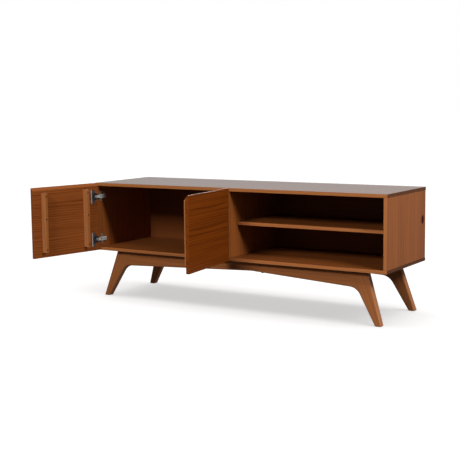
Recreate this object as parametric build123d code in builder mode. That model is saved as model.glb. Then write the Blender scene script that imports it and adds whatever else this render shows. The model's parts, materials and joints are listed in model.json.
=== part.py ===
"""TV stand with two hinged doors, an open bay with a shelf and a splayed timber base.

Frame: X along the width (left is -X), Y from front to back, Z up.
Everything is laid out about the middle of the carcass, with both doors open, and saved
about the middle of the whole open stand, on the floor.
"""
from build123d import *
import os
from math import cos, radians, sin, tan

os.makedirs("parts", exist_ok=True)

# ---------------------------------------------------------------- carcass boards
WIDTH = 1500.0  # length of the top and bottom boards
DEPTH = 418.0  # front edge to back edge of the top and bottom boards
HEIGHT = 544.0  # floor to top surface
LEG_HEIGHT = 221.0  # floor to the underside of the carcass
BOARD = 15.0  # thickness of every board and door
EDGE_ROUND = 1.5  # eased edges of the boards
END_OVERHANG = 1.0  # top and bottom boards stand this far beyond the side panels
BACK_THICK = 6.0  # thin back panel
REBATE = 7.0  # how far the back panel is let into the boards around it
SIDE_BACK_INSET = 1.0  # side panels stop this far before the top board's back edge

SAVED_X = 33.45  # carcass middle from the saved origin
SAVED_Y = 188.97
PLAY = 0.5  # around the shelf and the back panel

FRONT = -DEPTH / 2
BACK = DEPTH / 2
FLOOR_OF_BAY = LEG_HEIGHT + BOARD
CEILING_OF_BAY = HEIGHT - BOARD
SIDE_OUTER = WIDTH / 2 - END_OVERHANG
SIDE_INNER = SIDE_OUTER - BOARD
SIDE_CENTRE = (SIDE_OUTER + SIDE_INNER) / 2
SIDE_BACK = BACK - SIDE_BACK_INSET
SHOULDER = SIDE_BACK - BACK_THICK  # front face of the back panel

# ---------------------------------------------------------------- shelf
SHELF_SETBACK = 62.0  # shelf's front edge behind the carcass front
SHELF_TOP = 390.5
SHELF_PIN_R = 2.5
SHELF_PIN_DEEP = 9.0
SHELF_PIN_PROUD = 9.0
SHELF_PIN_Y = (-100.0, 150.0)

# ---------------------------------------------------------------- fasteners in the carcass
DOWEL_R = 4.0
DOWEL_IN_BOARD = 10.0
DOWEL_IN_END = 20.0
DOWEL_CHAMFER = 1.0
DOWEL_Y = (-150.0, 0.0, 150.0)
CARCASS_SCREW_Y = (-110.0, 0.0, 110.0)
CARCASS_SCREW_R = 2.5
CARCASS_SCREW_HEAD_R = 5.0
CARCASS_SCREW_LONG = 50.0
NAIL_R = 0.8
NAIL_LONG = 20.0
NAIL_HEAD_R = 2.2
NAIL_HEAD_THICK = 0.8
NAIL_X = (-600.0, -360.0, -120.0, 120.0, 360.0, 600.0)
NAIL_Z = (310.0, 455.0)

# ---------------------------------------------------------------- base frames
FRAME_TILT = 5.06  # degrees, feet further out than the tops, front and back
LEAN = radians(FRAME_TILT)
FRAME_THICK = 32.0
FRAME_INSET = 32.7  # frame's outer face behind the carcass edge, at the top
LEG_JOINT_X = 570.0  # glued joint between leg and rail
RAIL_END_DEEP = 68.0  # rail's height at the leg joint
RAIL_PEAK_DEEP = 40.4  # rail's least height, at its peak
RAIL_PEAK_X = 94.5
FOOT_OUTER_X = 721.0
FOOT_INNER_X = 693.0
LEG_TOP_OUTER_X = 650.4
LEG_CORNER_X = 603.5  # inner corner between rail and leg, before rounding
LEG_CORNER_DEEP = 69.8
LEG_CORNER_R = 60.0
FRAME_EDGE_ROUND = 6.0
FOOT_EDGE_ROUND = 3.0
FRAME_DOWEL_DEEP = (18.0, 48.0)  # below the carcass
FRAME_DOWEL_HALF = 20.0
LEG_DOWEL_X = 612.0
RAIL_SCREW_X = (-450.0, -170.0, 450.0)  # in deep counterbores
CENTRE_SCREW_X = 146.0  # its head stands below the rail's lower edge
CENTRE_SCREW_PROUD = 3.1
CENTRE_SCREW_HEAD_THICK = 2.0
RAIL_SCREW_R = 2.5
RAIL_SCREW_HEAD_R = 5.0
RAIL_SCREW_HEAD_THICK = 3.0
RAIL_SCREW_MID_DEEP = 20.0  # where the upright screws cross the leaning rail's middle
RAIL_SCREW_BITE = 12.0  # thread in the bottom board
RAIL_SCREW_WOOD = 25.0  # rail left above each counterbore
GLIDE_R = 8.0
GLIDE_THICK = 4.0
GLIDE_PROUD = 1.0

# ---------------------------------------------------------------- doors
DOOR_WIDTH = 376.75
DOOR_REVEAL = 0.5  # door's edges inside the carcass outline, top, bottom and hinge side
DOOR_GAP = 2.5  # between a closed door and the carcass front
LEFT_HINGE_EDGE = -WIDTH / 2 + DOOR_REVEAL
RIGHT_HINGE_EDGE = 7.0
PULL_BEVEL = 13.0  # 45 degree finger pull along the door's top, on the inner side
HINGE_EDGE_ROUND = 3.0
LEFT_OPEN = 101.0  # degrees from closed
RIGHT_OPEN = 97.0
PIVOT_IN = 8.5  # pivot from the door's hinge edge
PIVOT_OUT = 11.5  # pivot in front of the carcass
INNER_FACE = PIVOT_OUT - DOOR_GAP  # door's inner face behind the pivot
OUTER_FACE = INNER_FACE - BOARD
DOOR_BOTTOM = LEG_HEIGHT + DOOR_REVEAL
DOOR_TOP = HEIGHT - DOOR_REVEAL

BATTEN_WIDE = 14.0
BATTEN_DEEP = 30.0
BATTEN_EDGES = (76.0, 316.0)  # each batten's near edge, from the hinge edge
BATTEN_NAMES = ("hinge_side", "free_side")
BATTEN_BOTTOM = 246.0
BATTEN_TOP = 520.0
BATTEN_SCREW_Z = (260.0, 399.0, 503.0)
BATTEN_SCREW_R = 2.0
BATTEN_SCREW_HEAD_R = 4.0
BATTEN_SCREW_LONG = 36.0
BATTEN_SCREW_SUNK = 2.0

# ---------------------------------------------------------------- concealed hinges
# Distances along U run from the pivot towards the door's free edge, and along Y into the carcass.
HINGE_Z = {"lower": 274.0, "upper": 479.0}
CUP_U = 12.5
CUP_R = 17.5
CUP_WALL = 1.0
CUP_DEEP = 12.0
CUP_BASE = 0.6
RIM_R = 19.5
RIM_THICK = 1.2
RIM_MOUTH_HALF = 8.5  # opening in the rim for the arm
RIM_MOUTH_LONG = 9.0
RIM_MOUTH_FLOOR = 3.5  # above the pivot
EAR_NEAR = 15.0
EAR_FAR = 35.0
EAR_HALF = 34.0
EAR_ROUND = 6.0
CUP_SCREW_U = 24.0
CUP_SCREW_Z = 24.0
LUG_R = 2.4
LUG_NEAR = 6.4
LUG_FAR = 8.4
PIN_R = 1.2
PIN_PLAY = 0.05
KNUCKLE_R = 2.2
KNUCKLE_HALF = 6.0
STRAP_THICK = 2.0
ARM_U = 12.0  # underside of the arm's web
ARM_WIDE_FROM = 12.5
ARM_FLANGE_FROM = 16.0
ARM_BACK = 57.5
ARM_WINDOW_Y = 23.0  # middle of the opening in the web, ahead of the screws
ARM_WINDOW_LONG = 11.0
ARM_WINDOW_WIDE = 8.0
ARM_HALF = 8.5
ARM_WALL = 1.2
ARM_FLANGE_U = 9.7
PLATE_THICK = 2.5
PLATE_FRONT = 18.0
PLATE_BACK = 57.0
PLATE_HALF = 8.5
PLATE_ROUND = 2.0
WING_Y = 30.5
WING_WIDE = 13.0
WING_HALF = 25.0
WING_ROUND = 5.0
PLATE_SCREW_Z = 17.0
PLATE_BLOCK_HALF = 6.8
PLATE_BLOCK_FRONT = 30.0
PLATE_BLOCK_BACK = 55.0
ARM_SCREW_Y = (36.0, 49.0)
ARM_SCREW_R = 2.0
ARM_SCREW_HEAD_R = 4.0
ARM_SCREW_HEAD_THICK = 1.8
ARM_SCREW_LONG = 6.0
STEEL_SCREW_R = 1.8
STEEL_SCREW_HEAD_R = 3.6
STEEL_SCREW_LONG = 12.0
HOUSING_R = 16.2
HOUSING_NEAR = 15.4  # beyond the arm when the door is shut
HOUSING_SIDE_NEAR = 3.2  # beyond the lugs
HOUSING_SIDE_HALF = 9.2  # either side of the arm
HOUSING_SUNK = 0.8  # below the door's inner face


def save(piece, name):
    """Label a finished piece and write it to its own file."""
    shape = piece.part.moved(Location((SAVED_X, SAVED_Y, 0)))
    shape.label = name
    export_step(shape, f"parts/{name}.step")


def placed(frame, plane):
    """A standard plane carried into another frame."""
    return Plane(frame.location * plane.location)


def countersunk_screw(radius, head_radius, length):
    """Screw along -Z with a flat countersunk head at Z = 0 and a cross recess."""
    taper = head_radius - radius
    with BuildPart() as screw:
        with BuildSketch(Plane.XZ):
            with BuildLine():
                Polyline(
                    (0, 0),
                    (head_radius, 0),
                    (radius, -taper),
                    (radius, radius - length),
                    (0, -length),
                    close=True,
                )
            make_face()
        revolve(axis=Axis.Z)
        with BuildSketch(Plane.XY):
            Rectangle(head_radius, head_radius / 4)
            Rectangle(head_radius / 4, head_radius)
        extrude(amount=-taper / 2, mode=Mode.SUBTRACT)
    return screw.part


def pan_screw(radius, head_radius, head_thick, length):
    """Screw along -Z whose flat-bottomed head stands above Z = 0."""
    with BuildPart() as screw:
        with BuildSketch(Plane.XY):
            Circle(head_radius)
        extrude(amount=head_thick)
        fillet(screw.edges().sort_by(Axis.Z)[-1], radius=head_thick / 2)
        with BuildSketch(Plane.XY.offset(head_thick)):
            Rectangle(head_radius, head_radius / 4)
            Rectangle(head_radius / 4, head_radius)
        extrude(amount=-head_thick / 2, mode=Mode.SUBTRACT)
        with BuildSketch(Plane.XY):
            Circle(radius)
        extrude(amount=-length)
    return screw.part


def dowel(half_length):
    """Round dowel along Z, centred, with eased ends."""
    with BuildPart() as pin:
        Cylinder(DOWEL_R, 2 * half_length)
        chamfer(pin.edges().filter_by(GeomType.CIRCLE), length=DOWEL_CHAMFER)
    return pin.part


def group_of(shape, places):
    """The same fastener at every place, as separate solids in one piece."""
    with BuildPart() as group:
        with Locations(*places):
            add(shape)
    return group


def pointing_down(points, z):
    """Places on the plane Z = z whose own -Z axis points up."""
    return [Location((x, y, z), (180, 0, 0)) for x, y in points]


# ================================================================ carcass
panel_lines_x = (-SIDE_CENTRE, 0.0, SIDE_CENTRE)
dowel_points = [(x, y) for x in panel_lines_x for y in DOWEL_Y]
carcass_screw_points = [(x, y) for x in panel_lines_x for y in CARCASS_SCREW_Y]
rebate_half = SIDE_INNER + REBATE


def nail_points():
    """(x, z) of the nails around the back panel and down the divider."""
    rows = [(x, z) for z in (FLOOR_OF_BAY - REBATE / 2, CEILING_OF_BAY + REBATE / 2) for x in NAIL_X]
    posts = [(x, z) for x in (-SIDE_INNER - REBATE / 2, 0.0, SIDE_INNER + REBATE / 2) for z in NAIL_Z]
    return rows + posts


NAILS = nail_points()
NAIL_PLANE = Plane.XZ.offset(-SIDE_BACK)  # its normal points to the front


def bore_nail_holes():
    """Nail holes from the back panel's rear face, in the piece being built."""
    with BuildSketch(NAIL_PLANE) as holes:
        with Locations(*NAILS):
            Circle(NAIL_R)
    extrude(holes.sketch, amount=NAIL_LONG, mode=Mode.SUBTRACT)


def bore_up(points, radius, z, depth):
    """Vertical holes from height z, in the piece being built."""
    with BuildSketch(Plane.XY.offset(z)) as holes:
        with Locations(*points):
            Circle(radius)
    extrude(holes.sketch, amount=depth, mode=Mode.SUBTRACT)


def cut_board_rebate(z, height):
    """Stopped rebate for the back panel along the back edge of the top or bottom board."""
    with BuildSketch(Plane.XY.offset(z)) as strip:
        with Locations((0, (SHOULDER + BACK) / 2)):
            Rectangle(2 * rebate_half, BACK - SHOULDER)
    extrude(strip.sketch, amount=height, mode=Mode.SUBTRACT)


with BuildPart() as top_panel:
    with BuildSketch(Plane.XY.offset(CEILING_OF_BAY)):
        Rectangle(WIDTH, DEPTH)
    extrude(amount=BOARD)
    fillet(top_panel.edges(), radius=EDGE_ROUND)
    cut_board_rebate(CEILING_OF_BAY, REBATE)
    bore_up(dowel_points, DOWEL_R, CEILING_OF_BAY, DOWEL_IN_BOARD)
    bore_nail_holes()
save(top_panel, "top_panel")


def frame_plane(facing):
    """Outer face of a base frame: facing -1 is the front frame and 1 the rear one.

    Local X runs to the right as seen from outside, local Y up the leaning face.
    """
    origin = (0, facing * (DEPTH / 2 - FRAME_INSET), LEG_HEIGHT)
    return Plane(origin, x_dir=(-facing, 0, 0), z_dir=(0, facing * cos(LEAN), sin(LEAN)))


def frame_centre_y(facing, deep):
    """Middle of a base frame's thickness at a depth below the carcass."""
    return facing * (DEPTH / 2 - FRAME_INSET - FRAME_THICK / 2 + deep * tan(LEAN))


foot_middle_x = (FOOT_OUTER_X + FOOT_INNER_X) / 2
glide_points = [(s * foot_middle_x, frame_centre_y(f, LEG_HEIGHT)) for s in (-1, 1) for f in (-1, 1)]
leg_dowel_points = [(s * LEG_DOWEL_X, frame_centre_y(f, 0)) for s in (-1, 1) for f in (-1, 1)]
sunk_screw_points = [(-f * x, frame_centre_y(f, RAIL_SCREW_MID_DEEP)) for x in RAIL_SCREW_X for f in (-1, 1)]
centre_screw_points = [(-f * CENTRE_SCREW_X, frame_centre_y(f, RAIL_SCREW_MID_DEEP)) for f in (-1, 1)]
rail_screw_points = sunk_screw_points + centre_screw_points

with BuildPart() as bottom_panel:
    with BuildSketch(Plane.XY.offset(LEG_HEIGHT)):
        Rectangle(WIDTH, DEPTH)
    extrude(amount=BOARD)
    fillet(bottom_panel.edges(), radius=EDGE_ROUND)
    cut_board_rebate(FLOOR_OF_BAY, -REBATE)
    with Locations(*pointing_down(carcass_screw_points, LEG_HEIGHT)):
        CounterSinkHole(CARCASS_SCREW_R, CARCASS_SCREW_HEAD_R, depth=BOARD, counter_sink_angle=90)
    bore_up(leg_dowel_points, DOWEL_R, LEG_HEIGHT, DOWEL_IN_BOARD)
    bore_up(rail_screw_points, RAIL_SCREW_R, LEG_HEIGHT, RAIL_SCREW_BITE)
    bore_nail_holes()
save(bottom_panel, "bottom_panel")


def pivot_point(side):
    """Door pivot on the floor plane: side 1 is the left door and -1 the right door."""
    edge = LEFT_HINGE_EDGE if side > 0 else RIGHT_HINGE_EDGE
    return (edge + side * PIVOT_IN, FRONT - PIVOT_OUT, 0)


def carcass_frame(side):
    """Frame at a door's pivot, square to the carcass."""
    return Plane(pivot_point(side), x_dir=(1, 0, 0), z_dir=(0, 0, 1))


def door_frame(side):
    """Frame at a door's pivot, turned with the open door.  Local Y points inwards."""
    turn = radians(-LEFT_OPEN if side > 0 else RIGHT_OPEN)
    return Plane(pivot_point(side), x_dir=(cos(turn), sin(turn), 0), z_dir=(0, 0, 1))


def plate_face(side):
    """The carcass panel face that carries a door's hinges; its normal points to the door bay."""
    panel_x = -SIDE_INNER if side > 0 else -BOARD / 2
    return Plane((panel_x, FRONT - PIVOT_OUT, 0), x_dir=(0, side, 0), z_dir=(side, 0, 0))


def plate_screw_places(side):
    """Places of the mounting-plate screws, flush with the plates."""
    face = placed(plate_face(side), Plane.XY.offset(PLATE_THICK))
    spots = [z + dz for z in HINGE_Z.values() for dz in (-PLATE_SCREW_Z, PLATE_SCREW_Z)]
    return [face.location * Location((side * WING_Y, z, 0)) for z in spots]


def bore_plate_screw_holes(side):
    """Pilot holes for a door's mounting-plate screws, in the piece being built."""
    with Locations(*plate_screw_places(side)):
        Hole(STEEL_SCREW_R, depth=STEEL_SCREW_LONG)


def bore_shelf_pin_holes(face_x, into):
    """Holes for the shelf pins in a panel face, drilled along X."""
    pin_z = SHELF_TOP - BOARD - SHELF_PIN_R
    with BuildSketch(Plane.YZ.offset(face_x)) as holes:
        with Locations(*[(y, pin_z) for y in SHELF_PIN_Y]):
            Circle(SHELF_PIN_R)
    extrude(holes.sketch, amount=into * SHELF_PIN_DEEP, mode=Mode.SUBTRACT)


def side_panel(side):
    """End panel of the carcass: side -1 is the left one and 1 the right one."""
    with BuildPart() as panel:
        with BuildSketch(Plane.XY.offset(FLOOR_OF_BAY)):
            with Locations((side * SIDE_CENTRE, (FRONT + SIDE_BACK) / 2)):
                Rectangle(BOARD, SIDE_BACK - FRONT)
        extrude(amount=CEILING_OF_BAY - FLOOR_OF_BAY)
        fillet(panel.edges().filter_by(Axis.Z), radius=EDGE_ROUND)
        with BuildSketch(Plane.XY.offset(FLOOR_OF_BAY)):
            with Locations((side * (SIDE_INNER + REBATE / 2), (SHOULDER + SIDE_BACK) / 2)):
                Rectangle(REBATE, BACK_THICK)
        extrude(amount=CEILING_OF_BAY - FLOOR_OF_BAY, mode=Mode.SUBTRACT)
        bore_up(dowel_points, DOWEL_R, CEILING_OF_BAY, -DOWEL_IN_END)
        bore_up(carcass_screw_points, CARCASS_SCREW_R, LEG_HEIGHT, CARCASS_SCREW_LONG)
        bore_nail_holes()
        if side < 0:
            bore_plate_screw_holes(1)
        else:
            bore_shelf_pin_holes(SIDE_INNER, 1)
    return panel


save(side_panel(-1), "left_side_panel")
save(side_panel(1), "right_side_panel")

with BuildPart() as divider_panel:
    with BuildSketch(Plane.XY.offset(FLOOR_OF_BAY)):
        with Locations((0, (FRONT + SHOULDER) / 2)):
            Rectangle(BOARD, SHOULDER - FRONT)
    extrude(amount=CEILING_OF_BAY - FLOOR_OF_BAY)
    fillet(divider_panel.edges().filter_by(Axis.Z).group_by(Axis.Y)[0], radius=EDGE_ROUND)
    bore_up(dowel_points, DOWEL_R, CEILING_OF_BAY, -DOWEL_IN_END)
    bore_up(carcass_screw_points, CARCASS_SCREW_R, LEG_HEIGHT, CARCASS_SCREW_LONG)
    bore_nail_holes()
    bore_plate_screw_holes(-1)
    bore_shelf_pin_holes(BOARD / 2, -1)
save(divider_panel, "divider_panel")

with BuildPart() as back_panel:
    with BuildSketch(NAIL_PLANE):
        with Locations((0, (FLOOR_OF_BAY + CEILING_OF_BAY) / 2)):
            Rectangle(
                2 * (rebate_half - PLAY),
                CEILING_OF_BAY - FLOOR_OF_BAY + 2 * (REBATE - PLAY),
            )
    extrude(amount=BACK_THICK)
    bore_nail_holes()
save(back_panel, "back_panel")

with BuildPart() as shelf_board:
    shelf_left = BOARD / 2 + PLAY
    shelf_right = SIDE_INNER - PLAY
    shelf_front = FRONT + SHELF_SETBACK
    shelf_back = SHOULDER - PLAY
    with BuildSketch(Plane.XY.offset(SHELF_TOP - BOARD)):
        with Locations(((shelf_left + shelf_right) / 2, (shelf_front + shelf_back) / 2)):
            Rectangle(shelf_right - shelf_left, shelf_back - shelf_front)
    extrude(amount=BOARD)
    fillet(shelf_board.edges().filter_by(Axis.X).group_by(Axis.Y)[0], radius=EDGE_ROUND)
save(shelf_board, "shelf_board")

with BuildPart() as shelf_pins:
    for face, out in ((BOARD / 2, 1), (SIDE_INNER, -1)):
        with BuildSketch(Plane.YZ.offset(face - out * SHELF_PIN_DEEP)):
            with Locations(*[(y, SHELF_TOP - BOARD - SHELF_PIN_R) for y in SHELF_PIN_Y]):
                Circle(SHELF_PIN_R)
        extrude(amount=out * (SHELF_PIN_DEEP + SHELF_PIN_PROUD))
save(shelf_pins, "shelf_pins")

dowel_middle = CEILING_OF_BAY + (DOWEL_IN_BOARD - DOWEL_IN_END) / 2
carcass_dowels = group_of(
    dowel((DOWEL_IN_BOARD + DOWEL_IN_END) / 2),
    [(x, y, dowel_middle) for x, y in dowel_points],
)
save(carcass_dowels, "carcass_dowels")

carcass_screws = group_of(
    countersunk_screw(CARCASS_SCREW_R, CARCASS_SCREW_HEAD_R, CARCASS_SCREW_LONG),
    pointing_down(carcass_screw_points, LEG_HEIGHT),
)
save(carcass_screws, "carcass_screws")

with BuildPart() as back_panel_nails:
    with BuildSketch(NAIL_PLANE):
        with Locations(*NAILS):
            Circle(NAIL_R)
    extrude(amount=NAIL_LONG)
    with BuildSketch(NAIL_PLANE):
        with Locations(*NAILS):
            Circle(NAIL_HEAD_R)
    extrude(amount=-NAIL_HEAD_THICK)
save(back_panel_nails, "back_panel_nails")

# ================================================================ base frames
TRIM = 6.0  # extra height, cut off level at the floor and at the carcass


def along_face(deep):
    """Position up the leaning face of a point a given depth below the carcass."""
    return -deep / cos(LEAN)


def level_ends():
    """Cut the piece being built level with the glides and with the carcass."""
    split(bisect_by=Plane.XY.offset(LEG_HEIGHT), keep=Keep.BOTTOM)
    split(bisect_by=Plane.XY.offset(GLIDE_PROUD), keep=Keep.TOP)


def bore_frame_dowels(frame):
    """Holes across both leg joints of a frame, in the piece being built."""
    for end in (-1, 1):
        joint = placed(frame, Plane.YZ.offset(end * LEG_JOINT_X))
        with BuildSketch(joint) as holes:
            with Locations(*[(along_face(deep), -FRAME_THICK / 2) for deep in FRAME_DOWEL_DEEP]):
                Circle(DOWEL_R)
        extrude(holes.sketch, amount=FRAME_DOWEL_HALF, both=True, mode=Mode.SUBTRACT)


def base_rail(facing):
    """Rail between two legs, with a shallow peaked lower edge."""
    frame = frame_plane(facing)
    with BuildPart() as rail:
        with BuildSketch(frame):
            with BuildLine():
                Polyline(
                    (-LEG_JOINT_X, TRIM),
                    (-LEG_JOINT_X, along_face(RAIL_END_DEEP)),
                    (RAIL_PEAK_X, along_face(RAIL_PEAK_DEEP)),
                    (LEG_JOINT_X, along_face(RAIL_END_DEEP)),
                    (LEG_JOINT_X, TRIM),
                    close=True,
                )
            make_face()
        extrude(amount=-FRAME_THICK)
        lower_edges = rail.edges().filter_by(
            lambda edge: edge.length > LEG_JOINT_X / 2 and edge.center().Z < LEG_HEIGHT - TRIM
        )
        fillet(lower_edges, radius=FRAME_EDGE_ROUND)
        split(bisect_by=Plane.XY.offset(LEG_HEIGHT), keep=Keep.BOTTOM)
        bore_frame_dowels(frame)
        bore_up(rail_screw_points, RAIL_SCREW_R, 0, LEG_HEIGHT)
        bore_up(sunk_screw_points, RAIL_SCREW_HEAD_R, 0, LEG_HEIGHT - RAIL_SCREW_WOOD)
    return rail


def base_leg(facing, side):
    """Splayed leg with a round inner corner; side is the leg's sign along the frame's X."""
    frame = frame_plane(facing)
    inner_slope = (FOOT_INNER_X - LEG_CORNER_X) / (LEG_HEIGHT - LEG_CORNER_DEEP)
    outer_slope = (FOOT_OUTER_X - LEG_TOP_OUTER_X) / LEG_HEIGHT
    with BuildPart() as leg:
        with BuildSketch(frame) as outline:
            with BuildLine():
                Polyline(
                    (side * LEG_JOINT_X, TRIM),
                    (side * LEG_JOINT_X, along_face(RAIL_END_DEEP)),
                    (side * LEG_CORNER_X, along_face(LEG_CORNER_DEEP)),
                    (side * (FOOT_INNER_X + inner_slope * TRIM), along_face(LEG_HEIGHT + TRIM)),
                    (side * (FOOT_OUTER_X + outer_slope * TRIM), along_face(LEG_HEIGHT + TRIM)),
                    (side * (LEG_TOP_OUTER_X - outer_slope * TRIM), TRIM),
                    close=True,
                )
            make_face()
            corner = (side * LEG_CORNER_X, along_face(LEG_CORNER_DEEP), 0)
            fillet(outline.vertices().sort_by_distance(corner)[0], radius=LEG_CORNER_R)
        extrude(amount=-FRAME_THICK)
        joint_x = LEG_JOINT_X + 1
        outline_edges = leg.edges().filter_by(
            lambda edge: abs(edge.center().X) > joint_x
            and TRIM < edge.center().Z < LEG_HEIGHT - 1
            and edge.length > FRAME_THICK + 1
        )
        fillet(outline_edges, radius=FRAME_EDGE_ROUND)
        level_ends()
        foot = leg.faces().sort_by(Axis.Z)[0]
        fillet(foot.edges(), radius=FOOT_EDGE_ROUND)
        bore_frame_dowels(frame)
        bore_up(leg_dowel_points, DOWEL_R, LEG_HEIGHT, -DOWEL_IN_END)
        bore_up(glide_points, GLIDE_R, 0, GLIDE_THICK)
    return leg


for facing, end in ((-1, "front"), (1, "rear")):
    save(base_rail(facing), f"{end}_rail")
    save(base_leg(facing, facing), f"{end}_left_leg")
    save(base_leg(facing, -facing), f"{end}_right_leg")

frame_dowel_places = [
    frame_plane(f).location * Location((s * LEG_JOINT_X, along_face(deep), -FRAME_THICK / 2), (0, 90, 0))
    for f in (-1, 1)
    for s in (-1, 1)
    for deep in FRAME_DOWEL_DEEP
]
save(group_of(dowel(FRAME_DOWEL_HALF), frame_dowel_places), "frame_dowels")

leg_dowel_middle = LEG_HEIGHT + (DOWEL_IN_BOARD - DOWEL_IN_END) / 2
leg_dowels = group_of(
    dowel((DOWEL_IN_BOARD + DOWEL_IN_END) / 2),
    [(x, y, leg_dowel_middle) for x, y in leg_dowel_points],
)
save(leg_dowels, "leg_dowels")

with BuildPart() as rail_screws:
    sunk_long = RAIL_SCREW_WOOD + RAIL_SCREW_BITE
    sunk = pan_screw(RAIL_SCREW_R, RAIL_SCREW_HEAD_R, RAIL_SCREW_HEAD_THICK, sunk_long)
    with Locations(*pointing_down(sunk_screw_points, LEG_HEIGHT - RAIL_SCREW_WOOD)):
        add(sunk)
    slope = (RAIL_END_DEEP - RAIL_PEAK_DEEP) / (LEG_JOINT_X - RAIL_PEAK_X)
    centre_deep = RAIL_PEAK_DEEP + slope * (CENTRE_SCREW_X - RAIL_PEAK_X) + CENTRE_SCREW_PROUD
    centre_long = centre_deep + RAIL_SCREW_BITE
    centre = pan_screw(RAIL_SCREW_R, RAIL_SCREW_HEAD_R, CENTRE_SCREW_HEAD_THICK, centre_long)
    with Locations(*pointing_down(centre_screw_points, LEG_HEIGHT - centre_deep)):
        add(centre)
save(rail_screws, "rail_screws")

with BuildPart() as foot_glides:
    with BuildSketch(Plane.XY):
        with Locations(*glide_points):
            Circle(GLIDE_R)
    extrude(amount=GLIDE_THICK)
    fillet(foot_glides.edges().group_by(Axis.Z)[0], radius=GLIDE_PROUD * 0.8)
save(foot_glides, "foot_glides")

# ================================================================ doors


def inner_plane(side):
    """The open door's inner face; its normal points out of the door, its local Y up."""
    face = Plane((0, INNER_FACE, 0), x_dir=(-1, 0, 0), z_dir=(0, 1, 0))
    return placed(door_frame(side), face)


def batten_screw_places(side, edges=BATTEN_EDGES):
    """Places of the batten screws, with their heads sunk below the battens' faces."""
    face = placed(inner_plane(side), Plane.XY.offset(BATTEN_DEEP - BATTEN_SCREW_SUNK))
    middles = [edge + BATTEN_WIDE / 2 - PIVOT_IN for edge in edges]
    return [face.location * Location((-side * u, z, 0)) for u in middles for z in BATTEN_SCREW_Z]


def cup_screw_places(side):
    """Places of the cup screws, flush with the ears of each cup."""
    face = placed(inner_plane(side), Plane.XY.offset(RIM_THICK))
    spots = [z + dz for z in HINGE_Z.values() for dz in (-CUP_SCREW_Z, CUP_SCREW_Z)]
    return [face.location * Location((-side * CUP_SCREW_U, z, 0)) for z in spots]


def door_panel(side):
    """Overlay door with a bevelled finger pull along its top and two hinge-cup bores."""
    frame = door_frame(side)
    hinge_edge = -side * PIVOT_IN
    free_edge = side * (DOOR_WIDTH - PIVOT_IN)
    with BuildPart() as panel:
        with BuildSketch(placed(frame, Plane.XY.offset(DOOR_BOTTOM))) as plan:
            with BuildLine():
                Polyline(
                    (hinge_edge, OUTER_FACE),
                    (free_edge, OUTER_FACE),
                    (free_edge, INNER_FACE),
                    (hinge_edge, INNER_FACE),
                    close=True,
                )
            make_face()
            hinge_corners = plan.vertices().filter_by_position(Axis.X, hinge_edge - 1, hinge_edge + 1)
            fillet(hinge_corners, radius=HINGE_EDGE_ROUND)
            free_corners = plan.vertices().filter_by_position(Axis.X, free_edge - 1, free_edge + 1)
            fillet(free_corners, radius=EDGE_ROUND)
        extrude(amount=DOOR_TOP - DOOR_BOTTOM)
        fillet(panel.edges().group_by(Axis.Z)[0], radius=EDGE_ROUND * 0.8)
        with BuildSketch(placed(frame, Plane.YZ.offset(hinge_edge))):
            with BuildLine():
                Polyline(
                    (INNER_FACE, DOOR_TOP - PULL_BEVEL),
                    (INNER_FACE - PULL_BEVEL, DOOR_TOP),
                    (INNER_FACE, DOOR_TOP),
                    close=True,
                )
            make_face()
        extrude(amount=side * DOOR_WIDTH, mode=Mode.SUBTRACT)
        with BuildSketch(inner_plane(side)):
            with Locations(*[(-side * CUP_U, z) for z in HINGE_Z.values()]):
                Circle(CUP_R)
        extrude(amount=-CUP_DEEP, mode=Mode.SUBTRACT)
        with Locations(*batten_screw_places(side)):
            Hole(BATTEN_SCREW_R, depth=BATTEN_SCREW_LONG)
        with Locations(*cup_screw_places(side)):
            CounterSinkHole(
                STEEL_SCREW_R, STEEL_SCREW_HEAD_R, depth=STEEL_SCREW_LONG, counter_sink_angle=90
            )
    return panel


def door_batten(side, edge):
    """Upright stiffening batten on a door's inner face, with three sunk screw holes."""
    face = inner_plane(side)
    middle = (BATTEN_BOTTOM + BATTEN_TOP) / 2
    with BuildPart() as batten:
        with BuildSketch(face):
            with Locations((-side * (edge + BATTEN_WIDE / 2 - PIVOT_IN), middle)):
                Rectangle(BATTEN_WIDE, BATTEN_TOP - BATTEN_BOTTOM)
        extrude(amount=BATTEN_DEEP)
        proud_face = batten.faces().sort_by(Axis(face.origin, face.z_dir))[-1]
        fillet(proud_face.edges(), radius=EDGE_ROUND)
        with Locations(*batten_screw_places(side, (edge,))):
            Hole(BATTEN_SCREW_R, depth=BATTEN_DEEP)
            Hole(BATTEN_SCREW_HEAD_R, depth=BATTEN_SCREW_HEAD_R - BATTEN_SCREW_R)
    return batten


# ================================================================ hinges


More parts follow.
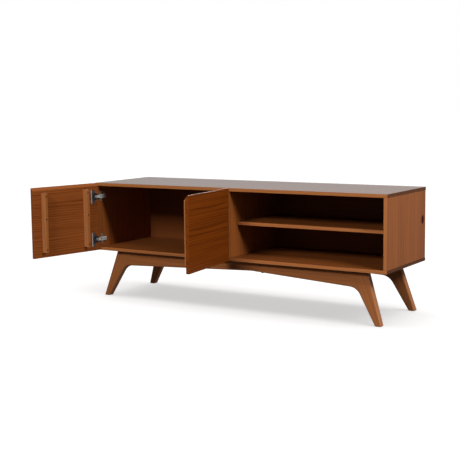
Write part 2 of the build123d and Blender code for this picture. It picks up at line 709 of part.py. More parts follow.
def hinge_cup(side, z):
    """Pressed cup with screw ears and two lugs for the hinge pin."""
    face = inner_plane(side)
    ear_middle = (-side * (EAR_NEAR + EAR_FAR) / 2, z)
    pivot = placed(door_frame(side), Plane.XY.offset(z))
    with BuildPart() as cup:
        with BuildSketch(face):
            with Locations((-side * CUP_U, z)):
                Circle(RIM_R)
            with Locations(ear_middle):
                RectangleRounded(EAR_FAR - EAR_NEAR, 2 * EAR_HALF, EAR_ROUND)
        extrude(amount=RIM_THICK)
        with BuildSketch(face):
            with Locations((-side * CUP_U, z)):
                Circle(CUP_R)
        extrude(amount=-CUP_DEEP)
        with BuildSketch(placed(face, Plane.XY.offset(RIM_THICK))):
            with Locations((-side * CUP_U, z)):
                Circle(CUP_R - CUP_WALL)
        extrude(amount=-(CUP_DEEP + RIM_THICK - CUP_BASE), mode=Mode.SUBTRACT)
        floor_y = INNER_FACE - CUP_DEEP + CUP_BASE
        for level in (-LUG_FAR, LUG_NEAR):
            with BuildSketch(placed(pivot, Plane.XY.offset(level))):
                Circle(LUG_R)
                with Locations((0, floor_y / 2)):
                    Rectangle(2 * LUG_R, -floor_y)
            extrude(amount=LUG_FAR - LUG_NEAR)
        with BuildSketch(placed(pivot, Plane.XY.offset(-LUG_FAR))):
            Circle(PIN_R)
        extrude(amount=2 * LUG_FAR, mode=Mode.SUBTRACT)
        with BuildSketch(placed(pivot, Plane.XY.offset(-RIM_MOUTH_HALF))):
            with Locations((-side * RIM_MOUTH_LONG / 2, INNER_FACE)):
                Rectangle(RIM_MOUTH_LONG, 2 * (INNER_FACE - RIM_MOUTH_FLOOR))
        extrude(amount=2 * RIM_MOUTH_HALF, mode=Mode.SUBTRACT)
        screws_here = [p for p in cup_screw_places(side) if abs(p.position.Z - z) < EAR_HALF]
        with Locations(*screws_here):
            CounterSinkHole(STEEL_SCREW_R, STEEL_SCREW_HEAD_R, depth=CUP_DEEP, counter_sink_angle=90)
    return cup


def hinge_pin(side, z):
    """Pin held in the cup's lugs; the arm's knuckle turns on it."""
    with BuildPart() as pin:
        with BuildSketch(placed(door_frame(side), Plane.XY.offset(z - LUG_FAR))):
            Circle(PIN_R)
        extrude(amount=2 * LUG_FAR)
    return pin


def spring_housing(side, z):
    """Closing-spring housing that fills the cup around the arm's path."""
    face = placed(inner_plane(side), Plane.XY.offset(-HOUSING_SUNK))
    with BuildPart() as housing:
        with BuildSketch(face):
            with Locations((-side * CUP_U, z)):
                Circle(HOUSING_R)
            with Locations((-side * (HOUSING_SIDE_NEAR - CUP_R), z)):
                Rectangle(2 * CUP_R, 2 * CUP_R, mode=Mode.SUBTRACT)
            with Locations((-side * (HOUSING_NEAR - CUP_R), z)):
                Rectangle(2 * CUP_R, 2 * HOUSING_SIDE_HALF, mode=Mode.SUBTRACT)
        extrude(amount=HOUSING_SUNK + CUP_BASE - CUP_DEEP)
        fillet(housing.faces().sort_by(Axis(face.origin, face.z_dir))[-1].edges(), radius=1.0)
    return housing


def panel_to_pivot(side):
    """How far the carcass panel's face stands from the pivot, along the plates' normal."""
    return side * (plate_face(side).origin.X - pivot_point(side)[0])


def arm_screw_places(side, z):
    """Places of one arm's two screws, on the outside of its web."""
    web = ARM_U + STRAP_THICK - panel_to_pivot(side)
    face = placed(plate_face(side), Plane.XY.offset(web))
    return [face.location * Location((side * y, z, 0)) for y in ARM_SCREW_Y]


def hinge_arm(side, z):
    """Cranked arm: a knuckle on the pin, a strap out of the cup and a channel over the plate."""
    middle = placed(carcass_frame(side), Plane.XY.offset(z))
    web_u = ARM_U + STRAP_THICK / 2
    with BuildPart() as arm:
        with BuildSketch(middle):
            Circle(KNUCKLE_R)
            with BuildLine():
                Polyline(
                    (0, -STRAP_THICK / 2),
                    (side * (ARM_U + STRAP_THICK), -STRAP_THICK / 2),
                    (side * (ARM_U + STRAP_THICK), ARM_WIDE_FROM),
                    (side * ARM_U, ARM_WIDE_FROM),
                    (side * ARM_U, STRAP_THICK / 2),
                    (0, STRAP_THICK / 2),
                    close=True,
                )
            make_face()
        extrude(amount=KNUCKLE_HALF, both=True)
        with BuildSketch(middle):
            with Locations((side * web_u, (ARM_WIDE_FROM + ARM_BACK) / 2)):
                Rectangle(STRAP_THICK, ARM_BACK - ARM_WIDE_FROM)
        extrude(amount=ARM_HALF, both=True)
        for level in (-ARM_HALF, ARM_HALF - ARM_WALL):
            with BuildSketch(placed(middle, Plane.XY.offset(level))):
                with Locations((side * (ARM_FLANGE_U + ARM_U) / 2, (ARM_FLANGE_FROM + ARM_BACK) / 2)):
                    Rectangle(ARM_U - ARM_FLANGE_U, ARM_BACK - ARM_FLANGE_FROM)
            extrude(amount=ARM_WALL)
        with BuildSketch(middle):
            Circle(PIN_R + PIN_PLAY)
        extrude(amount=KNUCKLE_HALF, both=True, mode=Mode.SUBTRACT)
        with BuildSketch(placed(middle, Plane.YZ.offset(side * ARM_U))):
            with Locations((ARM_WINDOW_Y, 0)):
                SlotOverall(ARM_WINDOW_LONG, ARM_WINDOW_WIDE)
        extrude(amount=side * STRAP_THICK, mode=Mode.SUBTRACT)
        with Locations(*arm_screw_places(side, z)):
            Hole(ARM_SCREW_R, depth=STRAP_THICK)
    return arm


def hinge_plate(side, z):
    """Cross-shaped mounting plate with a block that carries the arm."""
    face = plate_face(side)
    block_high = ARM_U - panel_to_pivot(side)
    with BuildPart() as plate:
        with BuildSketch(face):
            with Locations((side * (PLATE_FRONT + PLATE_BACK) / 2, z)):
                RectangleRounded(PLATE_BACK - PLATE_FRONT, 2 * PLATE_HALF, PLATE_ROUND)
            with Locations((side * WING_Y, z)):
                RectangleRounded(WING_WIDE, 2 * WING_HALF, WING_ROUND)
        extrude(amount=PLATE_THICK)
        with BuildSketch(face):
            with Locations((side * (PLATE_BLOCK_FRONT + PLATE_BLOCK_BACK) / 2, z)):
                Rectangle(PLATE_BLOCK_BACK - PLATE_BLOCK_FRONT, 2 * PLATE_BLOCK_HALF)
        extrude(amount=block_high)
        screws_here = [p for p in plate_screw_places(side) if abs(p.position.Z - z) < WING_HALF]
        with Locations(*screws_here):
            CounterSinkHole(STEEL_SCREW_R, STEEL_SCREW_HEAD_R, depth=PLATE_THICK, counter_sink_angle=90)
        with Locations(*arm_screw_places(side, z)):
            Hole(ARM_SCREW_R, depth=ARM_SCREW_LONG)
    return plate


batten_screw = countersunk_screw(BATTEN_SCREW_R, BATTEN_SCREW_HEAD_R, BATTEN_SCREW_LONG)
steel_screw = countersunk_screw(STEEL_SCREW_R, STEEL_SCREW_HEAD_R, STEEL_SCREW_LONG)
arm_screw = pan_screw(ARM_SCREW_R, ARM_SCREW_HEAD_R, ARM_SCREW_HEAD_THICK, ARM_SCREW_LONG)

for side, hand in ((1, "left"), (-1, "right")):
    save(door_panel(side), f"{hand}_door_panel")
    for edge, where in zip(BATTEN_EDGES, BATTEN_NAMES):
        save(door_batten(side, edge), f"{hand}_door_{where}_batten")
    save(group_of(batten_screw, batten_screw_places(side)), f"{hand}_door_batten_screws")
    for level, z in HINGE_Z.items():
        save(hinge_cup(side, z), f"{hand}_{level}_hinge_cup")
        save(spring_housing(side, z), f"{hand}_{level}_hinge_spring_housing")
        save(hinge_pin(side, z), f"{hand}_{level}_hinge_pin")
        save(hinge_arm(side, z), f"{hand}_{level}_hinge_arm")
        save(hinge_plate(side, z), f"{hand}_{level}_hinge_plate")
    save(group_of(steel_screw, cup_screw_places(side)), f"{hand}_hinge_cup_screws")
    save(group_of(steel_screw, plate_screw_places(side)), f"{hand}_hinge_plate_screws")
    arm_screws = [place for z in HINGE_Z.values() for place in arm_screw_places(side, z)]
    save(group_of(arm_screw, arm_screws), f"{hand}_hinge_arm_screws")
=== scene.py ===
"""Looks for the TV stand: stained softwood boards, nickel hinges, pale studio."""

import json
from math import cos, radians, sin

import bpy
from mathutils import Matrix, Vector


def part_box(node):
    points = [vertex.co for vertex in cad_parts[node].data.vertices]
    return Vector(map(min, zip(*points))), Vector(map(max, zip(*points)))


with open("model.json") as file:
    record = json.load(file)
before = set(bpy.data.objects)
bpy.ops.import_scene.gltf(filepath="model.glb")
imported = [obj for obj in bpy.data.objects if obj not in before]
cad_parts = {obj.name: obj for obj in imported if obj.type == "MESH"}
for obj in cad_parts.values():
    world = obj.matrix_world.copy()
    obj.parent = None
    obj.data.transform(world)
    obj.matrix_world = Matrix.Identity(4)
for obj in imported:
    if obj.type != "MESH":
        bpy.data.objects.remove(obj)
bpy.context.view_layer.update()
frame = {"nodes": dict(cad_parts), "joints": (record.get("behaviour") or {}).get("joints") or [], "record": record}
NODES = frame["nodes"]

# ---------------------------------------------------------------- places taken from the frame
TOP_LO, TOP_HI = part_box("top_panel")
CARCASS = Vector(((TOP_LO.x + TOP_HI.x) / 2, (TOP_LO.y + TOP_HI.y) / 2, 0.0))
PIVOTS = {joint["child"]: Vector(joint["pos_m"]) for joint in frame["joints"]}
LEFT_OPEN = 101.0  # degrees each door stands open at rest
RIGHT_OPEN = 97.0

X = Vector((1, 0, 0))
Y = Vector((0, 1, 0))
Z = Vector((0, 0, 1))

# ---------------------------------------------------------------- camera: angles in radians
CAMERA_OFFSET = Vector((2.3148, -3.8448, 0.90105))  # from the carcass middle, on the floor
CAMERA_YAW = 0.5691
CAMERA_PITCH = -0.1117
CAMERA_ROLL = -0.0121
SENSOR = 36.0  # millimetres, like the lens
LENS = 77.3593
SHIFT = (0.008848, -0.028826)  # in widths of the frame
CLIP = (0.05, 400.0)

# ---------------------------------------------------------------- studio light
AMBIENT = 0.16  # strength of the dim room
BAND = 0.40  # strength of the bright wall behind the stand
BAND_HEIGHT = 0.5  # sine of the elevation where the wall ends
BAND_SIDES = (-0.2, 0.5)  # how far behind the stand the wall starts and is at its full strength
FLOOR_HALF = 60.0
FLOOR_WHITE = 0.8
FLOOR_GLOW = 0.55
OVERHEAD = 1.8
OVERHEAD_ANGLE = 44.0  # degrees
OVERHEAD_LEANS = (-18.0, 6.0, 34.0)  # degrees, along the stand
OVERHEAD_HEIGHT = 4.0

# ---------------------------------------------------------------- wood grain
RING_PITCH = 0.009
RING_TONE = (  # place in the ring and how dark it is; the two ends come first
    (0.0, 0.25), (1.0, 0.25), (0.12, 0.0), (0.55, 0.25), (0.88, 1.0), (0.95, 0.8),
)
RING_SHARE = 0.55  # how much the rings, streaks and fibres each darken the wood
STREAK_SHARE = 1.1
FIBRE_SHARE = 0.5
DRIFT = (2.2, 7.0)  # noise scales along and across the grain: waves, fibres and streaks
FIBRE = (6.0, 420.0)
STREAK = (1.6, 80.0)
FIBRE_SPAN = (0.2, 0.8)  # the part of the fibre noise that turns into roughness
WOOD_ROUGHNESS = (0.38, 0.48)
SWAY_SCALE = 0.9  # slow wandering of the pith along the board
SWAY = 0.05
SWAY_DEPTH = 0.6
PITH_SPREAD = 1.4  # in strips: where the pith of each strip may lie
PITH_START = -0.2
STRIP_SHIFT = 7.0  # how far apart along the log two strips may come from
KNOT = (0.040, 0.006, 0.002, 1)
KNOT_EDGE = (0.75, 1.25)  # the knot's soft outline, in half sizes
KNOT_DECAY = 2.718  # with the reach: how quickly the rings calm down away from a knot
KNOT_REACH = 0.22
KNOT_SWELL = 2.5
KNOT_MATT = 0.5
EDGE_HIGHLIGHT_TINT = (0.89, 1.06, 1.4)  # painted highlight on the long edge faces
TURNED = (0.4, 0.9)  # cosines between which a face counts as turning to a direction
UPWARD = (0.3, 0.6)  # the same for a face that counts as turning up
COAT_ROUGHNESS = 0.22
BUMP_STRENGTH = 0.25
BUMP_DEPTH = 0.0003


def unit(x, y, z):
    return Vector((x, y, z)).normalized()


def srgb(red, green, blue):
    """Linear colour from 0 to 255 display values."""

    def linear(value):
        value = value / 255
        return value / 12.92 if value <= 0.04045 else ((value + 0.055) / 1.055) ** 2.4

    return (linear(red), linear(green), linear(blue), 1.0)


def make_camera():
    data = bpy.data.cameras.new("camera")
    data.sensor_width = SENSOR
    data.lens = LENS
    data.shift_x, data.shift_y = SHIFT
    data.clip_start, data.clip_end = CLIP
    sy, cy = sin(CAMERA_YAW), cos(CAMERA_YAW)
    sp, cp = sin(CAMERA_PITCH), cos(CAMERA_PITCH)
    forward = Vector((-sy * cp, cy * cp, sp))
    level = Vector((cy, sy, 0))
    upright = level.cross(forward)
    right = cos(CAMERA_ROLL) * level + sin(CAMERA_ROLL) * upright
    up = -sin(CAMERA_ROLL) * level + cos(CAMERA_ROLL) * upright
    turn = Matrix((right, up, -forward)).transposed().to_4x4()
    camera = bpy.data.objects.new("camera", data)
    camera.matrix_world = Matrix.Translation(CARCASS + CAMERA_OFFSET) @ turn
    bpy.context.scene.collection.objects.link(camera)
    bpy.context.scene.camera = camera


class Graph:
    """Short ways to add shader nodes to one material or world."""

    def __init__(self, tree):
        self.tree = tree

    def node(self, kind, **settings):
        made = self.tree.nodes.new(kind)
        for key, value in settings.items():
            setattr(made, key, value)
        return made

    def feed(self, socket, value):
        if isinstance(value, bpy.types.NodeSocket):
            self.tree.links.new(value, socket)
        else:
            socket.default_value = value

    def math(self, operation, a, b=0.0, c=0.0):
        made = self.node("ShaderNodeMath", operation=operation)
        for socket, value in zip(made.inputs, (a, b, c)):
            self.feed(socket, value)
        return made.outputs[0]

    def vector(self, operation, a, b):
        made = self.node("ShaderNodeVectorMath", operation=operation)
        self.feed(made.inputs[0], a)
        self.feed(made.inputs["Scale" if operation == "SCALE" else 1], b)
        return made.outputs["Value" if operation == "DOT_PRODUCT" else "Vector"]

    def length(self, a, b):
        squares = (self.math("MULTIPLY", side, side) for side in (a, b))
        return self.math("SQRT", self.math("ADD", *squares))

    def combine(self, x, y, z):
        made = self.node("ShaderNodeCombineXYZ")
        for socket, value in zip(made.inputs, (x, y, z)):
            self.feed(socket, value)
        return made.outputs[0]

    def noise(self, where, scale, detail=2.0, roughness=0.5):
        made = self.node("ShaderNodeTexNoise")
        self.feed(made.inputs["Vector"], where)
        made.inputs["Scale"].default_value = scale
        made.inputs["Detail"].default_value = detail
        made.inputs["Roughness"].default_value = roughness
        return made.outputs["Fac"]

    def ramp(self, value, stops):
        made = self.node("ShaderNodeValToRGB")
        points = made.color_ramp.elements
        for place, level in stops[2:]:
            points.new(place)
        for point, (place, level) in zip(points, sorted(stops)):
            point.position = place
            point.color = (level, level, level, 1.0)
        self.feed(made.inputs[0], value)
        return made.outputs[0]

    def mix(self, share, a, b):
        made = self.node("ShaderNodeMix", data_type="RGBA")
        self.feed(made.inputs["Factor"], share)
        self.feed(made.inputs[6], a)
        self.feed(made.inputs[7], b)
        return made.outputs[2]

    def stretch(self, u, v, w, scales, start=0.0):
        """Noise place, drawn out along the grain."""
        along, across = scales
        first = self.math("ADD", self.math("MULTIPLY", u, along), start)
        return self.combine(first, self.math("MULTIPLY", v, across), self.math("MULTIPLY", w, across))

    def facing(self, direction):
        """How squarely the surface faces along a direction, either way."""
        normal = self.node("ShaderNodeTexCoord").outputs["Normal"]
        return self.math("ABSOLUTE", self.vector("DOT_PRODUCT", normal, direction))

    def span(self, value, low, high, to_low=0.0, to_high=1.0):
        made = self.node("ShaderNodeMapRange")
        for socket, number in zip(made.inputs, (value, low, high, to_low, to_high)):
            self.feed(socket, number)
        return made.outputs[0]


# ---------------------------------------------------------------- wood
def strip_choice(g, v, strip, seed, tone, aside):
    """(pith place across, shift along the log, tone) of the glued strip at v."""
    index = g.math("FLOOR", g.math("DIVIDE", v, strip))
    dice = g.node("ShaderNodeTexWhiteNoise", noise_dimensions="1D")
    g.feed(dice.inputs["W"], g.math("ADD", index, seed))
    random = g.node("ShaderNodeSeparateColor")
    g.feed(random.inputs[0], dice.outputs["Color"])
    offset = g.math("MULTIPLY_ADD", random.outputs[0], PITH_SPREAD, aside + PITH_START)
    centre = g.math("MULTIPLY", g.math("ADD", index, offset), strip)
    shift = g.math("MULTIPLY", random.outputs[1], STRIP_SHIFT)
    return centre, shift, g.span(random.outputs[2], 0.0, 1.0, -tone, tone)


def ring_radius(g, u, v, w, centre, start, seed, pith, wave):
    """Distance from the pith, bent by slow waves along the grain."""
    drift = g.noise(g.stretch(u, v, w, DRIFT, start), 1.0, detail=3.0, roughness=0.45)
    bend = g.math("MULTIPLY", g.math("SUBTRACT", drift, 0.5), 2 * wave)
    swing = g.combine(g.math("ADD", g.math("MULTIPLY", u, SWAY_SCALE), start), seed, 0.0)
    slow = g.noise(swing, 1.0, detail=1.0)
    sway = g.math("MULTIPLY", g.math("SUBTRACT", slow, 0.5), SWAY)
    side = g.math("ADD", g.math("SUBTRACT", v, centre), sway)
    depth = g.math("ADD", w, g.math("MULTIPLY_ADD", sway, SWAY_DEPTH, pith))
    return g.math("ADD", g.length(side, depth), bend)


def knot_field(g, u, v, radius, knots):
    """(ring radius bent round the knots, how much of each point is knot)."""
    inside = 0.0
    for place_u, place_v, half_u, half_v in knots:
        du = g.math("DIVIDE", g.math("SUBTRACT", u, place_u), half_u)
        dv = g.math("DIVIDE", g.math("SUBTRACT", v, place_v), half_v)
        far = g.length(du, dv)
        fading = g.math("MULTIPLY", g.math("MULTIPLY", far, far), -KNOT_REACH)
        near = g.math("POWER", KNOT_DECAY, fading)
        radius = g.math("ADD", radius, g.math("MULTIPLY", near, KNOT_SWELL * half_v))
        inside = g.math("MAXIMUM", inside, g.span(far, *KNOT_EDGE, 1.0, 0.0))
    return radius, inside


def wood(
    name,
    along,
    across,
    origin,
    light,
    dark,
    strip=0.0,
    seed=0.0,
    pith=0.06,
    wave=0.005,
    contrast=0.7,
    tone=0.10,
    ior=1.2,
    edge_highlight_gain=1.5,
    end_gain=0.5,
    coat=0.0,
    aside=0.0,
    knots=(),
):
    """Stained softwood, solid through the board: growth rings round a pith, wavy along the grain.

    A board of glued strips has a different pith and tone in each strip.  The long edges
    are painted lighter and paler, a painted highlight where they catch the light, and the
    end grain takes more stain.  The coat is the polish of surfaces that face up.  Aside moves
    the pith that many strips away.  A knot is (place along, place across, half length, half
    width) from the origin, in metres.
    """
    material = bpy.data.materials.new(name)
    material.use_nodes = True
    tree = material.node_tree
    tree.nodes.clear()
    g = Graph(tree)
    rel = g.vector("SUBTRACT", g.node("ShaderNodeTexCoord").outputs["Object"], origin)
    u, v, w = (g.vector("DOT_PRODUCT", rel, axis) for axis in (along, across, along.cross(across)))

    centre, shift, strip_tone = 0.0, 0.0, 0.0
    if strip:
        centre, shift, strip_tone = strip_choice(g, v, strip, seed, tone, aside)
    radius = ring_radius(g, u, v, w, centre, g.math("ADD", shift, seed), seed, pith, wave)
    radius, knot = knot_field(g, u, v, radius, knots)
    late = g.ramp(g.math("FRACT", g.math("DIVIDE", radius, RING_PITCH)), RING_TONE)
    fibre = g.noise(g.stretch(u, v, w, FIBRE), 1.0, detail=2.0, roughness=0.6)
    streak_at = g.stretch(u, v, w, STREAK, g.math("ADD", shift, 3 * seed))
    streak = g.noise(streak_at, 1.0, detail=3.0, roughness=0.55)

    share = g.math("MULTIPLY", late, RING_SHARE * contrast)
    for figure, weight in ((streak, STREAK_SHARE), (fibre, FIBRE_SHARE)):
        darker = g.math("MULTIPLY", g.math("SUBTRACT", figure, 0.5), weight * contrast)
        share = g.math("ADD", share, darker)
    clamp = g.node("ShaderNodeClamp")
    g.feed(clamp.inputs[0], g.math("ADD", share, strip_tone))
    colour = g.mix(clamp.outputs[0], light, dark)
    polish = g.span(fibre, *FIBRE_SPAN, *WOOD_ROUGHNESS)
    if knots:
        colour = g.mix(knot, colour, KNOT)
        polish = g.math("ADD", polish, g.math("MULTIPLY", knot, KNOT_MATT))

    # painted highlight: the long edge faces are made lighter and paler; the end grain is darker from its stain
    on_edge = g.facing(across)
    colour = g.mix(g.span(on_edge, *TURNED), colour, g.vector("MULTIPLY", colour, EDGE_HIGHLIGHT_TINT))
    edge_highlight = g.span(on_edge, *TURNED, 1.0, edge_highlight_gain)
    end_part = g.span(g.facing(along), *TURNED, 0.0, end_gain - 1.0)
    colour = g.vector("SCALE", colour, g.math("ADD", edge_highlight, end_part))

    bump = g.node("ShaderNodeBump")
    bump.inputs["Strength"].default_value = BUMP_STRENGTH
    bump.inputs["Distance"].default_value = BUMP_DEPTH
    g.feed(bump.inputs["Height"], g.math("ADD", g.math("MULTIPLY", late, 0.5), fibre))

    shader = g.node("ShaderNodeBsdfPrincipled")
    g.feed(shader.inputs["Base Color"], colour)
    g.feed(shader.inputs["Roughness"], polish)
    shader.inputs["IOR"].default_value = ior
    if coat:
        g.feed(shader.inputs["Coat Weight"], g.span(g.facing(Z), *UPWARD, 0.0, coat))
        shader.inputs["Coat Roughness"].default_value = COAT_ROUGHNESS
    g.feed(shader.inputs["Normal"], bump.outputs[0])
    tree.links.new(shader.outputs[0], g.node("ShaderNodeOutputMaterial").inputs[0])
    return material


def polished(name, metallic, roughness, scratch):
    """(material, its graph, its shader, object place) with a faint uneven polish."""
    material = bpy.data.materials.new(name)
    material.use_nodes = True
    g = Graph(material.node_tree)
    shader = material.node_tree.nodes["Principled BSDF"]
    shader.inputs["Metallic"].default_value = metallic
    place = g.node("ShaderNodeTexCoord").outputs["Object"]
    patch = g.noise(place, PATCH_SCALE, detail=3.0, roughness=0.6)
    polish = g.span(patch, *PATCH_SPAN, roughness - scratch, roughness + scratch)
    g.feed(shader.inputs["Roughness"], polish)
    return material, g, shader, place


def plain(name, colour, metallic=0.0, roughness=0.4, scratch=0.0):
    """Metal or plastic of one colour."""
    material, _, shader, _ = polished(name, metallic, roughness, scratch)
    shader.inputs["Base Color"].default_value = colour
    return material


def cup_steel(body, pivot, free):
    """Drawn steel of the hinge cups with a painted dark reflection, and a painted highlight along the ears' outer
    edge.
    """
    material, g, shader, place = polished(
        f"{body}_cup_steel", metallic=0.6, roughness=0.41, scratch=0.07
    )
    from_pivot = g.vector("DOT_PRODUCT", g.vector("SUBTRACT", place, pivot), free)
    # painted highlight along the ears' outer edge, over the painted dark reflection
    painted_highlight = g.span(from_pivot, EAR_HIGHLIGHT_FROM, EAR_HIGHLIGHT_FROM + EAR_HIGHLIGHT_FADE)
    g.feed(shader.inputs["Base Color"], g.mix(painted_highlight, EAR_DARK_REFLECTION, EAR_HIGHLIGHT))
    return material


def put(material, *names):
    for name in names:
        NODES[name].data.materials[0] = material


# ---------------------------------------------------------------- door direction
def towards_free_edge(body, opened):
    """Along an open door's width, from its hinges to its free edge."""
    turn = radians(opened)
    return Vector((cos(turn) if body == "left_door" else -cos(turn), -sin(turn), 0))


# ---------------------------------------------------------------- finishes
BOARD_LIGHT = (0.300, 0.090, 0.020, 1)
BOARD_DARK = (0.150, 0.036, 0.006, 1)
# painted shade: the top is darker than the other boards, for the little light falling on it
TOP_LIGHT = (0.225, 0.068, 0.015, 1)
TOP_DARK = (0.115, 0.027, 0.0045, 1)
# the doors are one wood; the right door is painted darker than the left, as painted shade on its outer face
LEFT_DOOR_LIGHT = (0.245, 0.066, 0.014, 1)
LEFT_DOOR_DARK = (0.120, 0.027, 0.005, 1)
RIGHT_DOOR_LIGHT = (0.190, 0.042, 0.004, 1)
RIGHT_DOOR_DARK = (0.088, 0.016, 0.0015, 1)
FLOOR_LIGHT = (0.190, 0.056, 0.013, 1)  # upper faces inside the carcass, painted darker than the other boards as painted shade
FLOOR_DARK = (0.090, 0.022, 0.004, 1)
BATTEN_LIGHT = (0.310, 0.102, 0.026, 1)
BATTEN_DARK = (0.170, 0.050, 0.012, 1)
LEG_LIGHT = (0.300, 0.102, 0.031, 1)
LEG_DARK = (0.155, 0.047, 0.013, 1)
BACK_LIGHT = (0.170, 0.050, 0.012, 1)
BACK_DARK = (0.090, 0.024, 0.005, 1)
DOWEL_LIGHT = srgb(200, 165, 120)
DOWEL_DARK = srgb(165, 125, 85)
# painted dark reflection of the hinge cups, and a painted highlight along the ears' outer edge
EAR_DARK_REFLECTION = srgb(84, 82, 84)
EAR_HIGHLIGHT = srgb(225, 225, 228)
EAR_HIGHLIGHT_FROM = 0.0295  # from the pivot, in metres
EAR_HIGHLIGHT_FADE = 0.002
PATCH_SCALE = 180.0  # uneven polish of metal and plastic
PATCH_SPAN = (0.3, 0.7)
BOARD_STRIP = 0.088  # widths of the glued strips
SIDE_STRIP = 0.07
DOOR_STRIP = 0.081
KNOT_FROM_BACK = 0.033  # the one knot on the right side panel
KNOT_ABOVE_MIDDLE = 0.022
KNOT_HALF = (0.019, 0.0135)
LEG_LEAN = 0.0886  # slopes of the legs from upright, front to back and along the stand
LEG_SPLAY = 0.45

face = CARCASS + Vector((0, 0, TOP_HI.z))
top_wood = wood(
    "top_wood", X, Y, face, TOP_LIGHT, TOP_DARK,
    strip=BOARD_STRIP, seed=3.0, edge_highlight_gain=1.9, end_gain=0.5, coat=1.0,
)
put(top_wood, "top_panel")
face = CARCASS + Vector((0, 0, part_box("bottom_panel")[1].z))
bottom_wood = wood(
    "bottom_wood", X, Y, face, FLOOR_LIGHT, FLOOR_DARK,
    strip=BOARD_STRIP, seed=11.0, edge_highlight_gain=2.4,
)
put(bottom_wood, "bottom_panel")
face = CARCASS + Vector((0, 0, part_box("shelf_board")[1].z))
shelf_wood = wood(
    "shelf_wood", X, Y, face, FLOOR_LIGHT, FLOOR_DARK,
    strip=BOARD_STRIP, seed=17.0, edge_highlight_gain=2.6,
)
put(shelf_wood, "shelf_board")

side_lo, side_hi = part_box("right_side_panel")
knot_up = (side_lo.z + side_hi.z) / 2 + KNOT_ABOVE_MIDDLE
knot_across = side_hi.y - CARCASS.y - KNOT_FROM_BACK
face = CARCASS + Vector((side_hi.x - CARCASS.x, 0, 0))
right_side_wood = wood(
    "right_side_wood", Z, Y, face, BOARD_LIGHT, BOARD_DARK,
    strip=SIDE_STRIP, seed=23.0, contrast=0.8, tone=0.14, ior=1.25,
    knots=((knot_up, knot_across, *KNOT_HALF),),
)
put(right_side_wood, "right_side_panel")
face = CARCASS + Vector((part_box("left_side_panel")[0].x - CARCASS.x, 0, 0))
for name, origin, seed in (("left_side", face, 29.0), ("divider", CARCASS, 31.0)):
    material = wood(f"{name}_wood", Z, Y, origin, BOARD_LIGHT, BOARD_DARK, strip=SIDE_STRIP, seed=seed)
    put(material, f"{name}_panel")
put(wood("back_wood", X, Z, CARCASS, BACK_LIGHT, BACK_DARK, seed=37.0), "back_panel")

DOORS = (
    ("left_door", LEFT_OPEN, 41.0, LEFT_DOOR_LIGHT, LEFT_DOOR_DARK),
    ("right_door", RIGHT_OPEN, 47.0, RIGHT_DOOR_LIGHT, RIGHT_DOOR_DARK),
)
for body, opened, seed, light, dark in DOORS:
    free = towards_free_edge(body, opened)
    pivot = Vector((PIVOTS[body].x, PIVOTS[body].y, 0.0))
    door_wood = wood(
        f"{body}_wood", free, Z, pivot, light, dark,
        strip=DOOR_STRIP, seed=seed, pith=0.05, wave=0.004, contrast=1.35,
        end_gain=1.0, ior=1.12, coat=0.35, aside=0.9,
    )
    put(door_wood, f"{body}_panel")
    hand = body.split("_")[0]
    put(cup_steel(body, pivot, free), f"{hand}_lower_hinge_cup", f"{hand}_upper_hinge_cup")
    for extra, end in enumerate(("hinge_side", "free_side")):
        batten_wood = wood(
            f"{body}_{end}_batten_wood", Z, free, pivot, BATTEN_LIGHT, BATTEN_DARK,
            seed=seed + 1 + extra,
        )
        put(batten_wood, f"{body}_{end}_batten")

for row, outward in (("front", -1), ("rear", 1)):
    tilt = unit(0, -LEG_LEAN * outward, 1)
    rail_lo, rail_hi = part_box(f"{row}_rail")
    base = CARCASS + Vector((0, (rail_lo.y + rail_hi.y) / 2 - CARCASS.y, rail_hi.z))
    rail_wood = wood(f"{row}_rail_wood", X, tilt, base, LEG_LIGHT, LEG_DARK, seed=53.0 + outward)
    put(rail_wood, f"{row}_rail")
    for hand, sign in (("left", -1), ("right", 1)):
        leg_lo, leg_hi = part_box(f"{row}_{hand}_leg")
        down = unit(sign * LEG_SPLAY, outward * LEG_LEAN, -1)
        across = (X - down * X.dot(down)).normalized()
        base = Vector(((leg_lo.x + leg_hi.x) / 2, (leg_lo.y + leg_hi.y) / 2, leg_hi.z))
        leg_wood = wood(
            f"{row}_{hand}_leg_wood", down, across, base, LEG_LIGHT, LEG_DARK,
            seed=61.0 + outward + 3 * sign,
        )
        put(leg_wood, f"{row}_{hand}_leg")

dowel_wood = wood("dowel_wood", Z, X, CARCASS, DOWEL_LIGHT, DOWEL_DARK, seed=71.0)
put(dowel_wood, "carcass_dowels", "leg_dowels", "frame_dowels")

nickel = plain("nickel", srgb(212, 212, 209), metallic=0.35, roughness=0.34, scratch=0.06)
plate_steel = plain("plate_steel", srgb(172, 172, 170), metallic=0.7, roughness=0.4, scratch=0.08)
zinc = plain("zinc", srgb(186, 188, 190), metallic=1.0, roughness=0.34, scratch=0.06)
black_steel = plain("black_steel", srgb(34, 28, 26), metallic=0.6, roughness=0.5, scratch=0.05)
glide = plain("glide", srgb(28, 24, 22), roughness=0.6, scratch=0.04)
HARDWARE = (
    (nickel, ("hinge_arm", "hinge_pin")),
    (plate_steel, ("hinge_plate",)),
    (glide, ("spring_housing", "foot_glides")),
    (zinc, ("cup_screws", "plate_screws", "arm_screws", "nails", "shelf_pins")),
    (black_steel, ("batten_screws", "rail_screws", "carcass_screws")),
)
for material, endings in HARDWARE:
    put(material, *(name for name in NODES if name.endswith(endings)))


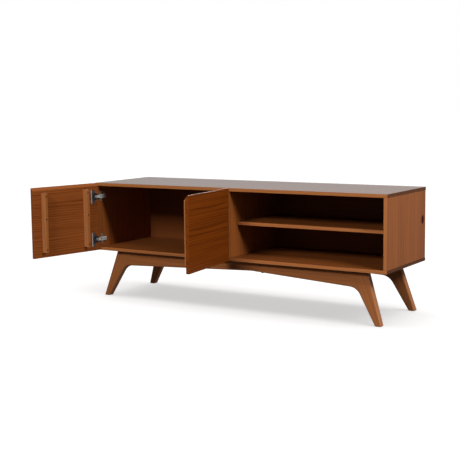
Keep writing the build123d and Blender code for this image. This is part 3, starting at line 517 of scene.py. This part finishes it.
# ---------------------------------------------------------------- studio
def make_floor():
    """Plain white floor that throws no light back onto the stand."""
    mesh = bpy.data.meshes.new("floor")
    signs = ((-1, -1), (1, -1), (1, 1), (-1, 1))
    corners = [CARCASS + Vector((x * FLOOR_HALF, y * FLOOR_HALF, 0)) for x, y in signs]
    mesh.from_pydata(corners, [], [(0, 1, 2, 3)])
    floor = bpy.data.objects.new("floor", mesh)
    bpy.context.scene.collection.objects.link(floor)
    material = bpy.data.materials.new("floor")
    material.use_nodes = True
    shader = material.node_tree.nodes["Principled BSDF"]
    shader.inputs["Base Color"].default_value = (FLOOR_WHITE, FLOOR_WHITE, FLOOR_WHITE, 1)
    shader.inputs["Emission Color"].default_value = (1, 1, 1, 1)
    shader.inputs["Emission Strength"].default_value = FLOOR_GLOW
    shader.inputs["Roughness"].default_value = 1.0
    shader.inputs["Specular IOR Level"].default_value = 0.0
    mesh.materials.append(material)
    floor.visible_diffuse = False
    floor.visible_glossy = False
    return floor


def make_world():
    """Dim room with a bright wall behind the stand; the backdrop itself is white."""
    world = bpy.data.worlds.new("studio")
    bpy.context.scene.world = world
    world.use_nodes = True
    tree = world.node_tree
    tree.nodes.clear()
    g = Graph(tree)
    direction = g.node("ShaderNodeTexCoord").outputs["Generated"]
    height = g.math("ABSOLUTE", g.vector("DOT_PRODUCT", direction, Z))
    band = g.span(height, 0.0, BAND_HEIGHT, 1.0, 0.0)
    behind = g.span(g.vector("DOT_PRODUCT", direction, Y), *BAND_SIDES)
    glow = g.math("MULTIPLY", g.math("MULTIPLY", band, behind), BAND)
    sky = g.node("ShaderNodeBackground")
    g.feed(sky.inputs["Strength"], g.math("ADD", glow, AMBIENT))
    backdrop = g.node("ShaderNodeBackground")
    backdrop.inputs["Strength"].default_value = 1.0
    backdrop.inputs["Color"].default_value = (1, 1, 1, 1)
    blend = g.node("ShaderNodeMixShader")
    g.feed(blend.inputs[0], g.node("ShaderNodeLightPath").outputs["Is Camera Ray"])
    tree.links.new(sky.outputs[0], blend.inputs[1])
    tree.links.new(backdrop.outputs[0], blend.inputs[2])
    tree.links.new(blend.outputs[0], g.node("ShaderNodeOutputWorld").inputs[0])


def only_for(light, name, objects):
    """Let a light fall on these objects alone; every object still casts its shadow."""
    group = bpy.data.collections.new(name)
    for thing in objects:
        group.objects.link(thing)
    light.light_linking.receiver_collection = group


def all_but(*left_out):
    return [node for name, node in NODES.items() if name not in left_out]


def softbox(name, place, aim, size, power, receivers):
    """Area light; its place and aim are from the carcass middle, on the floor."""
    data = bpy.data.lights.new(name, "AREA")
    data.shape = "RECTANGLE"
    data.size, data.size_y = size
    data.energy = power
    light = bpy.data.objects.new(name, data)
    light.location = CARCASS + Vector(place)
    light.rotation_mode = "QUATERNION"
    light.rotation_quaternion = (Vector(aim) - Vector(place)).to_track_quat("-Z", "Y")
    bpy.context.scene.collection.objects.link(light)
    light.visible_camera = False
    only_for(light, f"{name}_receivers", receivers)


def overhead(floor):
    """Long soft light above the stand, for the shadow of the carcass on the floor."""
    carcass = bpy.data.collections.new("overhead_blockers")
    for node in frame["record"]["behaviour"]["bodies"]["cabinet"]:
        carcass.objects.link(NODES[node])
    for index, lean in enumerate(OVERHEAD_LEANS):
        data = bpy.data.lights.new(f"overhead_{index}", "SUN")
        data.angle = radians(OVERHEAD_ANGLE)
        data.energy = OVERHEAD / len(OVERHEAD_LEANS) / cos(radians(lean))
        light = bpy.data.objects.new(f"overhead_{index}", data)
        light.location = CARCASS + Vector((0, 0, OVERHEAD_HEIGHT))
        light.rotation_euler = (0, radians(lean), 0)
        bpy.context.scene.collection.objects.link(light)
        only_for(light, f"overhead_{index}_receivers", [floor])
        light.light_linking.blocker_collection = carcass


overhead(make_floor())
make_world()
softbox(
    "side_key",
    place=(3.03, -1.07, 2.37),
    aim=(0.4, -0.1, 0.35),
    size=(1.0, 1.0),
    power=110.0,
    receivers=all_but("left_side_panel"),
)
softbox(
    "bay_key",
    place=(1.64, -0.98, 2.81),
    aim=(-0.72, -0.15, 0.38),
    size=(0.5, 0.5),
    power=66.0,
    receivers=[NODES["left_side_panel"]],
)
softbox(
    "front_light",
    place=(-0.3, -4.4, 2.84),
    aim=(0.0, -0.2, 0.35),
    size=(1.4, 1.1),
    power=150.0,
    receivers=all_but("rear_left_leg", "left_side_panel"),
)
softbox(
    "rear_fill",
    place=(-2.7, 3.5, 2.2),
    aim=(0.0, 0.1, 0.35),
    size=(2.0, 1.5),
    power=230.0,
    receivers=all_but("top_panel"),
)
softbox(
    "top_sheen",
    place=(-3.0, 4.6, 1.5),
    aim=(0.0, 0.0, 0.54),
    size=(7.0, 2.2),
    power=10.8,
    receivers=[NODES["top_panel"]],
)
bpy.context.scene.view_settings.view_transform = "Standard"
make_camera()
